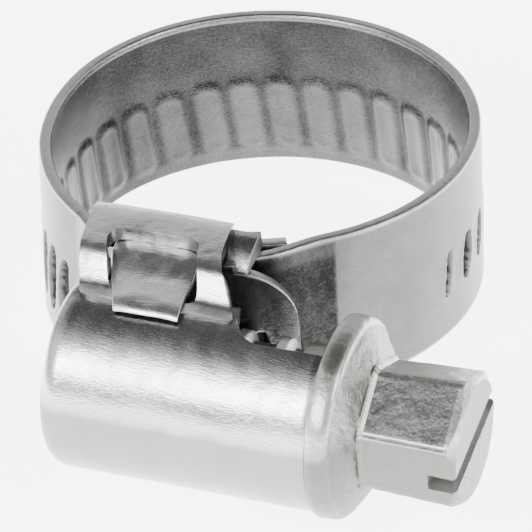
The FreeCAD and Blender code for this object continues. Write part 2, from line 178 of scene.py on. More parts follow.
def steel(name, base, dark, rough, rough_var, scratch, bump, grime=0.5, fine=2600.0, stretch=(1, 1, 14), downward_shade=0.4, speck=0.3, deep=1.0):
    m = bpy.data.materials.new(name)
    m.use_nodes = True
    nt = m.node_tree
    nd, ln = nt.nodes, nt.links
    bs = nd["Principled BSDF"]
    bs.inputs["Metallic"].default_value = 1.0
    bs.inputs["IOR"].default_value = 2.3
    tc = nd.new("ShaderNodeTexCoord")
    mp = nd.new("ShaderNodeMapping")
    mp.inputs["Scale"].default_value = stretch
    ln.new(tc.outputs["Object"], mp.inputs["Vector"])
    n1 = nd.new("ShaderNodeTexNoise")
    n1.inputs["Scale"].default_value = 420.0
    n1.inputs["Detail"].default_value = 6.0
    n1.inputs["Roughness"].default_value = 0.62
    ln.new(tc.outputs["Object"], n1.inputs["Vector"])
    n2 = nd.new("ShaderNodeTexNoise")
    n2.inputs["Scale"].default_value = fine
    n2.inputs["Detail"].default_value = 4.0
    ln.new(mp.outputs["Vector"], n2.inputs["Vector"])
    n3 = nd.new("ShaderNodeTexNoise")
    n3.inputs["Scale"].default_value = 150.0
    n3.inputs["Detail"].default_value = 3.0
    ln.new(tc.outputs["Object"], n3.inputs["Vector"])
    # colour: large soft stains, and a mix to the dark colour where the painted light level is low (painted shade and
    # painted reflections)
    cr = nd.new("ShaderNodeValToRGB")
    cr.color_ramp.elements[0].position, cr.color_ramp.elements[1].position = 0.30, 0.66
    cr.color_ramp.elements[0].color = (*[b * 0.86 for b in base], 1)
    cr.color_ramp.elements[1].color = (*base, 1)
    ln.new(n1.outputs["Fac"], cr.inputs["Fac"])
    # reads the per-vertex painted light level
    at = nd.new("ShaderNodeAttribute")
    at.attribute_name = "painted_light"
    mul = nd.new("ShaderNodeMath")
    mul.operation = "MULTIPLY_ADD"
    mul.inputs[1].default_value = 0.16 * grime
    ln.new(n1.outputs["Fac"], mul.inputs[0])
    n4 = nd.new("ShaderNodeTexNoise")
    n4.inputs["Scale"].default_value = 7500.0
    n4.inputs["Detail"].default_value = 3.0
    ln.new(tc.outputs["Object"], n4.inputs["Vector"])
    spk = nd.new("ShaderNodeMath")
    spk.operation = "MULTIPLY_ADD"
    spk.inputs[1].default_value = speck
    spk.inputs[2].default_value = -0.08 * grime - 0.5 * speck
    ln.new(n4.outputs["Fac"], spk.inputs[0])
    ln.new(spk.outputs[0], mul.inputs[2])
    add = nd.new("ShaderNodeMath")
    add.operation = "ADD"
    add.use_clamp = True
    # painted shade: faces whose normal turns away from the sky get a darker base colour
    geo = nd.new("ShaderNodeNewGeometry")
    sx = nd.new("ShaderNodeSeparateXYZ")
    ln.new(geo.outputs["Normal"], sx.inputs[0])
    facing_shade = nd.new("ShaderNodeMapRange")
    facing_shade.inputs["From Min"].default_value, facing_shade.inputs["From Max"].default_value = 0.12, 0.36
    facing_shade.inputs["To Min"].default_value, facing_shade.inputs["To Max"].default_value = downward_shade, 1.0
    ln.new(sx.outputs["Z"], facing_shade.inputs["Value"])
    painted_shade_factor = nd.new("ShaderNodeMath")
    painted_shade_factor.operation = "MULTIPLY"
    ln.new(at.outputs["Fac"], add.inputs[0])
    ln.new(add.outputs[0], painted_shade_factor.inputs[0])
    ln.new(facing_shade.outputs["Result"], painted_shade_factor.inputs[1])
    ln.new(mul.outputs[0], add.inputs[1])
    mix = nd.new("ShaderNodeMix")
    mix.data_type = "RGBA"
    mix.inputs["A"].default_value = (*dark, 1)
    ln.new(painted_shade_factor.outputs[0], mix.inputs["Factor"])
    ln.new(cr.outputs["Color"], mix.inputs["B"])
    ln.new(mix.outputs["Result"], bs.inputs["Base Color"])
    # roughness
    rr = nd.new("ShaderNodeMapRange")
    rr.inputs["From Min"].default_value, rr.inputs["From Max"].default_value = 0.3, 0.7
    rr.inputs["To Min"].default_value, rr.inputs["To Max"].default_value = rough - rough_var, rough + rough_var
    ln.new(n3.outputs["Fac"], rr.inputs["Value"])
    ln.new(rr.outputs["Result"], bs.inputs["Roughness"])
    # bump: fine rolling lines and shallow dents
    b1 = nd.new("ShaderNodeBump")
    b1.inputs["Strength"].default_value = scratch
    b1.inputs["Distance"].default_value = 0.00003 * deep
    ln.new(n2.outputs["Fac"], b1.inputs["Height"])
    b2 = nd.new("ShaderNodeBump")
    b2.inputs["Strength"].default_value = bump
    b2.inputs["Distance"].default_value = 0.00008 * deep
    ln.new(n1.outputs["Fac"], b2.inputs["Height"])
    ln.new(b1.outputs["Normal"], b2.inputs["Normal"])
    ln.new(b2.outputs["Normal"], bs.inputs["Normal"])
    return m


# each steel below carries a painted shade level for faces turned away from the sky
BAND = steel("band_steel", (0.66, 0.655, 0.65), (0.010, 0.0095, 0.009), 0.25, 0.06, 0.55, 0.40, grime=0.8, downward_shade=0.4, speck=0.22, deep=1.0)
HOUS = steel("housing_steel", (0.78, 0.77, 0.765), (0.022, 0.021, 0.020), 0.21, 0.05, 0.35, 0.30, grime=0.7, stretch=(1, 6, 6), downward_shade=0.27, speck=0.45, deep=1.2)
SADL = steel("saddle_steel", (0.70, 0.695, 0.69), (0.022, 0.021, 0.020), 0.24, 0.06, 0.4, 0.45, grime=1.2, downward_shade=0.3, speck=0.5, deep=1.2)
SCRW = steel("screw_steel", (0.62, 0.61, 0.585), (0.035, 0.033, 0.031), 0.34, 0.08, 0.6, 1.0, grime=1.1, fine=1500.0, stretch=(1, 1, 1), downward_shade=0.22, speck=0.35, deep=1.5)
# painted shade: darker steel for the upper hexagon face only, also rougher
HEX_TOP_SHADE = steel("screw_hex_top_painted_shade", (0.26, 0.255, 0.25), (0.020, 0.019, 0.018), 0.48, 0.12, 1.0, 1.8, grime=4.0, fine=1300.0, stretch=(1, 1, 1), speck=1.5, deep=1.8)
ROUGH = steel("screw_cast_steel", (0.46, 0.452, 0.43), (0.025, 0.024, 0.022), 0.42, 0.10, 0.9, 1.5, grime=1.2, fine=1800.0, stretch=(1, 1, 1), downward_shade=0.3, speck=0.55, deep=1.7)

# painted light: a bright steel inside the driver slot, where little light reaches
SLOT_PAINTED_LIGHT = steel("driver_slot_painted_light", (0.88, 0.875, 0.87), (0.30, 0.295, 0.29), 0.42, 0.08, 0.5, 0.6, grime=1.0, fine=1500.0, stretch=(1, 1, 1), downward_shade=1.0)
CUTF = steel("sheared_edge_steel", (0.30, 0.295, 0.29), (0.020, 0.019, 0.018), 0.40, 0.08, 0.6, 0.9, grime=1.2, downward_shade=0.3)
TONG = steel("tongue_steel", (0.88, 0.87, 0.865), (0.022, 0.021, 0.020), 0.22, 0.06, 0.4, 0.6, grime=1.0, stretch=(1, 6, 6), downward_shade=0.3, speck=0.35, deep=1.3)

# ------------------------------------------------------------------ band path
R_MID, R_TAIL = 10.875, 13.055
START, TAIL_FROM, TAIL_TO = 39.0, -30.073922, 27.8
PITCH = 2.1076377880927026
LINK = 2 * PITCH
HINGES = [(6.843859, -8.451462), (9.530613, -5.237656), (10.803299, -1.246734), (10.473089, 2.929168), (8.588976, 6.670466),
          (5.430508, 9.422060), (1.466309, 10.775693), (-2.715447, 10.530526), (-6.494310, 8.722933), (-9.309605, 5.621110),
          (-10.743624, 1.685277), (-10.583601, -2.500602), (-9.759181, -6.633588)]


def at_r(phi, r):
    return np.array([r * math.sin(math.radians(phi)), -r * math.cos(math.radians(phi))])


# centre line: polar radius against angle, the fixed end first, then the loop
R_OF = [(-6, 11.825), (18, 11.825), (22, 11.70), (26, 11.42), (30, 11.14), (34, 10.94), (37.5, 10.878), (44, 10.875), (150, 10.875), (235, 10.875), (250, 10.87),
        (264, 10.84), (276, 10.84), (286, 10.90), (292.5, 10.98), (298.9, 11.05), (304.5, 11.14), (310, 11.24), (315.6, 11.34), (320.7, 11.43), (325.7, 11.52),
        (329.93, 11.63)]
TAIL_OF = [(-31.0, 11.60), (-30.073922, 11.63), (-27.0, 11.78), (-22.0, 12.22), (-17.0, 12.74), (-12.0, 13.02), (-9.0, 13.055), (28.5, 13.055)]


def interp(table, phi):
    ps = [p for p, r in table]
    i = max(0, min(len(ps) - 2, sum(1 for p in ps if p <= phi) - 1))
    p0, p1 = ps[i], ps[i + 1]
    t = (phi - p0) / (p1 - p0)

    def slope(k):
        if k <= 0:
            return (table[1][1] - table[0][1]) / (ps[1] - ps[0])
        if k >= len(ps) - 1:
            return (table[-1][1] - table[-2][1]) / (ps[-1] - ps[-2])
        return (table[k + 1][1] - table[k - 1][1]) / (ps[k + 1] - ps[k - 1])
    r0, r1 = table[i][1], table[i + 1][1]
    m0, m1 = slope(i) * (p1 - p0), slope(i + 1) * (p1 - p0)
    return (2 * t ** 3 - 3 * t * t + 1) * r0 + (t ** 3 - 2 * t * t + t) * m0 + (-2 * t ** 3 + 3 * t * t) * r1 + (t ** 3 - t * t) * m1


def radius(phi):
    return interp(R_OF, phi)


def tail_radius(phi):
    return interp(TAIL_OF, phi)


def tilt(phi):
    """The band leans out at the bottom where it runs into the housing on the left."""
    a = phi if phi > -35 and phi < 60 else phi - 360 if phi > 180 else phi
    if a < 0:
        return 0.032 * smooth01((a + 85) / 30) * (1 - smooth01((a + 27) / 12))
    return 0.0


W, TK = 9.0, 0.65
# centres of the pressed ribs, degrees
RIBS = [75.5, 86.0, 96.5, 107.4, 118.4, 129.4, 140.4, 151.4, 162.5, 173.2, 184.1, 195.0, 205.6, 216.4, 228.2, 239.9, 251.3, 262.7, 273.6, 284.0,
        293.7, 303.0, 312.5, 322.0]
OUTER = [q + 4.9 * smooth01((q - 200) / 60) * (1 - smooth01((q - 298) / 28)) for q in RIBS]
TAIL_RIBS = [-27.75, -18.5, -9.25, 0.0, 9.25, 18.5]


def rounded_box(u, v, hu, hv, rad, soft):
    """1 inside a rounded rectangle, falling to 0 over the soft width."""
    qx, qy = abs(u) - (hu - rad), abs(v) - (hv - rad)
    dist = math.hypot(max(qx, 0), max(qy, 0)) + min(max(qx, qy), 0) - rad
    return smooth01(0.5 - dist / soft)


def section():
    """Samples over the width, closer together at the two edges."""
    t = np.linspace(0, 1, 79)
    z = np.concatenate([[-4.5, -4.487, -4.455, -4.40, -4.32], np.linspace(-4.22, 4.22, 91), [4.32, 4.40, 4.455, 4.487, 4.5]])
    return z


SECT = section()


def band_piece(name, phi0, phi1, kind, cap0=False, cap1=False, step=0.11):
    """A stretch of the band between two angles.  kind is loop or tail."""
    n = max(6, int(math.radians(phi1 - phi0) * 12.0 / step))
    phis = np.linspace(phi0, phi1, n)
    zs = SECT
    nz = len(zs)
    ribs = TAIL_RIBS if kind == "tail" else RIBS
    V, T = [], []
    e = 0.02
    rad_f = tail_radius if kind == "tail" else radius
    for side in (1, -1):
        for p in phis:
            r = rad_f(p)
            c = at_r(p, r)
            tan = at_r(p + e, rad_f(min(p + e, 329.93) if kind != "tail" else p + e)) - at_r(p - e, rad_f(p - e))
            tan = tan / np.linalg.norm(tan)
            out = np.array([tan[1], -tan[0]])
            near = [q for q in (OUTER if kind == "loop" and side > 0 else ribs) if abs(q - p) < 9]
            for z in zs:
                # edges: rounded, and turned up a little on the outside
                ez = 4.5 - abs(z)
                rnd = TK / 2 - (0.17 * (1 - math.sqrt(max(0.0, 1 - (max(0.0, 0.18 - ez) / 0.18) ** 2))))
                off = side * rnd
                painted_light = 1.0
                wob = 0.018 * noise.noise(Vector((c[0] * 0.45, c[1] * 0.45, z * 0.35)))
                lean = math.tan(math.radians(7.0)) * (z + 1.2)
                gb = 0.0
                for q in near:
                    u = math.radians(p - q) * r - lean
                    if side > 0:
                        if kind == "loop":
                            left = q > 250
                            zc, hz, hw = (-1.15, 2.05, 0.46) if left else (-0.85, 1.30, 0.44)
                            if q < 76:
                                hw = 0.14
                        else:
                            zc, hz, hw = -0.9, 1.9, 0.42
                        zz = (z - zc) / hz
                        if abs(zz) < 1.15:
                            wide = hw * max(0.0, 1 - zz * zz) ** 0.45
                            g = smooth01(0.5 - (abs(u) - wide) / 0.20) if abs(zz) < 1 else 0.0
                            off -= 0.42 * g
                            # painted shade: the pressed slots are darkened
                            painted_light -= 1.0 * g
                            # lip raised beside the slot
                            off += 0.035 * max(0.0, smooth01(0.5 - (abs(u) - wide - 0.35) / 0.5) - g) * (1 - zz * zz if abs(zz) < 1 else 0)
                    else:
                        g = rounded_box(u, z + 1.58, 0.80, 2.12, 0.55, 0.62)
                        off -= 0.155 * g
                        off += 0.05 * rounded_box(u, z + 1.58, 0.34, 1.7, 0.3, 0.5)
                        gb = max(gb, rounded_box(u, z + 1.58, 0.74, 2.06, 0.55, 0.45))
                if side < 0:
                    # inside: painted reflection and painted shade, a dark strip above the ribs, darker in the left,
                    # lighter below
                    strip = smooth01((z - 0.2) / 0.8) * (1 - smooth01((z - 4.0) / 0.35))
                    deep = smooth01((p - 205) / 60) * (1 - smooth01((z + 1.5) / 6.0) * 0.0)
                    right_in = smooth01((150 - p) / 50)
                    top = 0.11 - 0.08 * deep - 0.06 * right_in
                    rib = 0.28 - 0.22 * deep - 0.14 * right_in
                    low = 0.25 - 0.20 * deep - 0.13 * right_in
                    body = low + (rib - low) * gb - (0.14 - 0.11 * deep) * (1 - gb) * smooth01((z + 3.9) / 0.4)
                    painted_light = body + (top - body) * strip
                    painted_light += 0.05 * noise.noise(Vector((p * 0.09, z * 0.6, 4.4)))
                    if z > 4.2:
                        painted_light = 0.75
                elif kind == "loop":
                    # outside: darker overall; below 40 degrees, by the housing, a painted shadow patch
                    painted_light -= 0.64 if abs(z) < 4.3 else 0.3
                    if p < 40:
                        dark = (1 - smooth01((p - 38.6) / 0.8))
                        painted_light -= 0.33 * dark * (1 - smooth01((z - 3.2) / 0.5)) + 0.20 * dark * smooth01((z - 3.2) / 0.5) * (1 - smooth01((z - 4.1) / 0.2))
                        painted_light += 0.04 * dark * noise.noise(Vector((p * 0.5, z * 1.2, 1.0)))
                else:
                    s_tip = math.radians(TAIL_TO - p) * r
                    # painted shade over the tail: darkest by the housing, lighter along the tip's edge
                    if p <= 8:
                        painted_light -= 0.5
                    else:
                        edge_l = smooth01((0.35 - s_tip) / 0.2)
                        painted_light -= (0.45 - 0.30 * edge_l)
                        painted_light += 0.16 * noise.noise(Vector((p * 0.4, z * 1.1, 9.0)))
                off -= tilt(p) * (z - 4.5)
                off += wob
                x, y = c + out * off
                V.append((x, y, z))
                T.append(max(0.0, min(1.0, painted_light)))
    F = grid_faces(n, nz) + [tuple(i + n * nz for i in q) for q in grid_faces(n, nz, flip=True)]
    o1 = n * nz
    for i in range(n - 1):
        a, b = i * nz, (i + 1) * nz
        F.append((a, a + o1, b + o1, b))
        a, b = i * nz + nz - 1, (i + 1) * nz + nz - 1
        F.append((a, b, b + o1, a + o1))
    # end faces have their own points
    for flag, i in ((True, 0), (True, n - 1)):
        base = len(V)
        for j in range(nz):
            V.append(V[i * nz + j])
            T.append(0.8)
        for j in range(nz):
            V.append(V[o1 + i * nz + j])
            T.append(0.8)
        for j in range(nz - 1):
            q = (base + j, base + j + 1, base + nz + j + 1, base + nz + j)
            F.append(q if i == 0 else q[::-1])
    return V, F, T


def ang(pt):
    a = math.degrees(math.atan2(pt[0], -pt[1]))
    return a if a >= 0 else a + 360


HANG = [ang(h) for h in HINGES]
pieces_out = []


def loop_piece(name, p0, p1, nodes, a, b=None, hinge=None):
    V, F, T = band_piece(name, p0, p1, "loop")
    o = make(name, V, F, BAND, painted_light=T)
    o.data.validate()
    for nd in nodes:
        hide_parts(nd)
    if b is None:
        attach(o, a)
    else:
        c = at_r(hinge, radius(hinge))
        t = at_r(hinge + 0.5, radius(hinge + 0.5)) - at_r(hinge - 0.5, radius(hinge - 0.5))
        t = t / np.linalg.norm(t) * 0.9
        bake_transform(o)
    return o


mids = [(HANG[i] + HANG[i + 1]) / 2 for i in range(12)] + [(HANG[12] + 329.93) / 2]
loop_piece("band_fixed_run", 2.0, mids[0], ["band_fixed_end"], "housing", "link_01", HANG[0])
for i in range(1, 13):
    loop_piece("band_run_%02d" % (i + 1), mids[i - 1], mids[i], ["band_link_%02d" % i], "link_%02d" % i, "link_%02d" % (i + 1), HANG[i])
loop_piece("band_run_14", mids[12], 329.90, ["band_link_13"], "link_13")

# tail with its rounded tip
V, F, T = band_piece("band_tail_run", TAIL_FROM, TAIL_TO, "tail")
TIP = 3.3


def tip(v):
    x, y, z = v
    r = math.hypot(x, y)
    a = math.degrees(math.atan2(x, -y))
    s = math.radians(TAIL_TO - a) * R_TAIL
    if s < TIP:
        lim = 4.5 - TIP + math.sqrt(max(0.0, TIP ** 2 - (TIP - s) ** 2))
        lim = max(lim, 0.4)
        z = z * lim / 4.5
    return (x, y, z)


V = [tip(v) for v in V]
tail = make("band_tail_run", V, F, BAND, painted_light=T)
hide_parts("band_tail")
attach(tail, "tail")

# ------------------------------------------------------------------ housing
YS, ZS = -16.45, -0.25
RB, SHEET = 4.1, 0.7


def barrel():
    nx, na = 150, 150
    V, T = [], []
    xs = np.concatenate([[-3.35, -3.33, -3.27, -3.17], np.linspace(-3.05, 9.45, nx - 7), [9.54, 9.59, 9.60]])
    for i, x in enumerate(xs):
        if x < 4.75:
            th0 = 80.0
        else:
            u = min(1.0, (x - 4.75) / 1.75)
            th0 = 80.0 + 29.0 * math.sqrt(1 - (1 - u) ** 2)
        for j in range(na):
            th = th0 + (360 - 2 * th0) * j / (na - 1)
            # end edges drawn in slightly, faint flats and dents from forming
            edge = 0.10 * (max(0.0, (-3.17 - x) / 0.18) ** 2) + 0.07 * (max(0.0, (x - 9.45) / 0.15) ** 2)
            r = RB - edge
            r += 0.030 * noise.noise(Vector((x * 0.30, th * 0.018, 3.1))) - 0.012
            r += 0.016 * noise.noise(Vector((x * 1.3, th * 0.07, 7.7)))
            a = math.radians(th)
            V.append((x, YS + r * math.cos(a), ZS + r * math.sin(a)))
            t = 1.0
            # painted shade where it tucks beneath the folded sheet
            if th < 104 and x < 4.9:
                t -= 0.45 * smooth01((101 - th) / 9)
            # painted reflection: a dark band along the top, the dark ceiling's reflection
            t -= 0.42 * smooth01((134 - th) / 16)
            t = max(0.12, t)
            T.append(t)
    o = make("housing_barrel", V, grid_faces(nx, na, flip=False), HOUS, painted_light=T)
    finish_mesh(o, thick=SHEET, bevel=0.10, segs=3, angle=50)
    return o


WRAP = [(-17.02, 4.78), (-16.65, 4.80), (-16.32, 4.83), (-16.10, 4.95), (-15.75, 5.33), (-15.38, 5.76), (-15.08, 6.02), (-14.6, 6.16), (-13.9, 6.22), (-13.1, 6.27), (-11.95, 6.29), (-11.2, 6.12),
        (-10.85, 5.88)]
WRAP_LINE = spline(WRAP, 400)
WRAP_LEN = float(np.linalg.norm(np.diff(WRAP_LINE, axis=0), axis=1).sum())


def on_wrap(u, x, s=1):
    k = min(1.0, max(0.0, u)) * 399
    i = min(398, int(k))
    f = k - i
    y, z = WRAP_LINE[i] * (1 - f) + WRAP_LINE[i + 1] * f
    return x, y, s * z


def wrap_left(y):
    return float(np.interp(-y, (10.5, 14.53, 15.72, 17.02), (-4.50, -3.90, -3.58, -3.10)))


def wrap_right(y):
    return float(np.interp(-y, (10.5, 11.6, 13.85, 14.9, 15.7, 16.37, 17.02), (2.72, 2.85, 3.14, 3.50, 4.02, 4.52, 4.88)))


def u_of_y(y):
    k = int(np.argmin(np.abs(WRAP_LINE[:, 0] - y)))
    return k / 399


def wrap(name, s, window):
    """The folded sheet over one edge of the band.  In its own plane: u along the fold, x across."""
    na, nr = 264, 44
    # window centre and size in (x, u)
    u0, u1 = u_of_y(-16.55), u_of_y(-13.20)
    xc, uc = -0.36, (u0 + u1) / 2
    hx, hu = 2.34, (u1 - u0) / 2
    if not window:
        xc, uc, hx, hu = -0.2, 0.5, 0.02, 0.004
    V, T = [], []
    for k in range(nr):
        f = k / (nr - 1)
        f = f ** 1.15
        for j in range(na):
            t = 2 * math.pi * j / na
            c, sn = math.cos(t), math.sin(t)
            # superellipse for the window, squarer towards the outer edge
            n = 6.0
            rr = (abs(c) ** n + abs(sn) ** n) ** (-1 / n)
            wx, wu = xc + hx * rr * c, uc + hu * rr * sn
            if window:
                wx += 0.36 * max(0.0, -14.1 - on_wrap(wu, 0)[1])
            n = 26.0
            r2 = (abs(c) ** n + abs(sn) ** n) ** (-1 / n)
            ex, eu = r2 * c, r2 * sn              # on the unit square
            uu = 0.5 + 0.5 * eu
            yy = on_wrap(uu, 0)[1]
            xl, xr = wrap_left(yy), wrap_right(yy)
            ox = xl + (xr - xl) * (0.5 + 0.5 * ex)
            x, u = wx + (ox - wx) * f, wu + (uu - wu) * f
            px, py, pz = on_wrap(u, x, s)
            # rounded shoulders of the sheet
            crown = 0.10 * max(0.0, abs((x - xc) / 4.2) ** 3)
            w = 0.03 * noise.noise(Vector((px * 0.5, py * 0.6, 2.2 * s))) + 0.012 * noise.noise(Vector((px * 2.2, py * 2.2, 5.2)))
            pz -= s * (crown - w)
            V.append((px, py, pz))
            painted_light = 1.0
            T.append(painted_light)
    F = []
    for k in range(nr - 1):
        for j in range(na):
            a, b = k * na + j, k * na + (j + 1) % na
            c_, d_ = (k + 1) * na + (j + 1) % na, (k + 1) * na + j
            q = (a, d_, c_, b)
            F.append(q if s > 0 else q[::-1])
    if not window:
        q = tuple(range(na))
        F.append(q if s > 0 else q[::-1])
    o = make(name, V, F, HOUS, painted_light=T)
    finish_mesh(o, thick=0.72, bevel=0.11, segs=3, angle=50)
    return o


b0 = barrel()


def dim_sides(o, lo=0.9):
    """Sheared faces at the two ends are duller than the rolled ones."""
    o.data.materials.append(CUTF)
    for p in o.data.polygons:
        if abs(p.normal[0]) > lo:
            p.material_index = 1


w1 = wrap("housing_wrap_upper", 1, True)
w2 = wrap("housing_wrap_lower", -1, False)


def bar(name, profile, x0, x1, mat, bevel=0.08, nx=40, painted_light=1.0, warp=None):
    """A closed (y, z) profile run along x."""
    P = profile
    n = len(P)
    V, F = [], []
    for i in range(nx):
        x = x0 + (x1 - x0) * i / (nx - 1)
        for y, z in P:
            v = (x, y, z)
            V.append(warp(v) if warp else v)
    for i in range(nx - 1):
        for j in range(n):
            F.append((i * n + j, (i + 1) * n + j, (i + 1) * n + (j + 1) % n, i * n + (j + 1) % n))
    F.append(tuple(range(n)))
    F.append(tuple((nx - 1) * n + j for j in range(n))[::-1])
    o = make(name, V, F, mat, painted_light=[painted_light] * len(V))
    bm = bmesh.new()
    bm.from_mesh(o.data)
    bmesh.ops.recalc_face_normals(bm, faces=bm.faces)
    bm.to_mesh(o.data)
    bm.free()
    finish_mesh(o, bevel=bevel, segs=3, angle=35)
    return o


# inner lips where the folded sheet returns to the barrel
# painted shade: both lips darkened, the upper one more
lip_u = bar("lip_u", [(-16.28, 3.52), (-16.28, 3.98), (-15.72, 4.30), (-15.35, 4.02), (-15.55, 3.52)], -3.25, 4.45, HOUS, painted_light=0.35)
lip_l = bar("lip_l", [(-16.28, -3.52), (-16.28, -3.98), (-15.72, -4.30), (-15.35, -4.02), (-15.55, -3.72)], -3.25, 4.45, HOUS, painted_light=0.6)
housing = join("screw_housing_shell", [b0, w1, w2, lip_u, lip_l])
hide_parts("screw_housing")
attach(housing, "housing")

# ------------------------------------------------------------------ saddle


def sector(name, r0, r1, a0, a1, z0, z1, mat, painted_light=1.0, xmax=None, bevel=0.08):
    na = 60
    V, F = [], []
    for i in range(na):
        a = a0 + (a1 - a0) * i / (na - 1)
        for r, z in ((r0, z0), (r1, z0), (r1, z1), (r0, z1)):
            x, y = at_r(a, r)
            if xmax is not None and x > xmax:
                x, y = xmax, y
            V.append((x, y, z))
    for i in range(na - 1):
        for j in range(4):
            F.append((i * 4 + j, (i + 1) * 4 + j, (i + 1) * 4 + (j + 1) % 4, i * 4 + (j + 1) % 4))
    F.append((0, 1, 2, 3))
    F.append(tuple((na - 1) * 4 + j for j in (3, 2, 1, 0)))
    o = make(name, V, F, mat, painted_light=[painted_light] * len(V))
    bm = bmesh.new()
    bm.from_mesh(o.data)
    bmesh.ops.recalc_face_normals(bm, faces=bm.faces)
    bm.to_mesh(o.data)
    bm.free()
    finish_mesh(o, bevel=bevel, segs=2, angle=35)
    return o


plate = sector("saddle_plate", 10.42, 11.08, -21, 27, -4.5, 4.5, SADL)
web = sector("saddle_web", 10.82, 11.08, -15.5, 20.5, -5.2, 5.2, SADL)
# painted shade: the saddle's top is darkened
top = sector("saddle_top", 11.25, 13.85, -15.5, 15.0, 4.64, 5.19, SADL, painted_light=0.5)
low = sector("saddle_low", 10.95, 13.85, -15.5, 16.2, -5.19, -4.64, SADL)
tong_out = spline([(-13.1, 5.54), (-13.5, 5.49), (-13.9, 5.40), (-14.3, 5.28), (-14.75, 5.15), (-15.1, 5.08), (-15.5, 5.05), (-16.2, 5.04), (-16.9, 5.03), (-17.35, 4.97), (-17.68, 4.85), (-17.84, 4.66)], 60)
tong_in = spline([(-17.76, 4.58), (-17.3, 4.68), (-16.7, 4.75), (-16.1, 4.77), (-15.5, 4.77), (-14.9, 4.78), (-14.2, 4.84), (-13.1, 4.84)], 36)


def tongue_warp(v):
    x, y, z = v
    # narrows towards its end, leans to the right, slightly crowned
    xl = float(np.interp(-y, (13.1, 14.0, 15.2, 16.4, 17.2, 17.85), (-2.55, -2.55, -2.15, -1.62, -1.30, -1.02)))
    xr = float(np.interp(-y, (13.1, 14.0, 17.85), (1.90, 1.93, 2.30)))
    f = (x + 2.02) / 3.82
    x = xl + (xr - xl) * f
    z -= 0.07 * abs(2 * f - 1) ** 4
    z += 0.025 * noise.noise(Vector((x * 1.4, y * 1.4, 0.5)))
    return (x, y, z)


tongue = bar("saddle_tongue", [tuple(p) for p in tong_out] + [tuple(p) for p in tong_in], -2.02, 1.8, TONG, bevel=0.07, nx=60, warp=tongue_warp)
dim_sides(tongue)
wing_p = [tuple(p) for p in spline([(-13.30, 4.66), (-13.1, 5.02), (-12.5, 5.50), (-11.7, 5.78), (-11.15, 5.76)], 16)] + \
         [tuple(p) for p in spline([(-11.02, 5.1), (-11.3, 4.9), (-12.0, 4.78), (-12.8, 4.66)], 10)]
# painted shade: the wing is darkened
wing = bar("saddle_wing", wing_p, 2.6, 4.18, SADL, bevel=0.06, nx=24, painted_light=0.55)
dim_sides(wing)
saddle = join("saddle_shell", [plate, web, top, low, tongue, wing])
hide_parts("saddle")
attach(saddle, "housing")

# ------------------------------------------------------------------ screw
LEAD = 2.1399263792545975


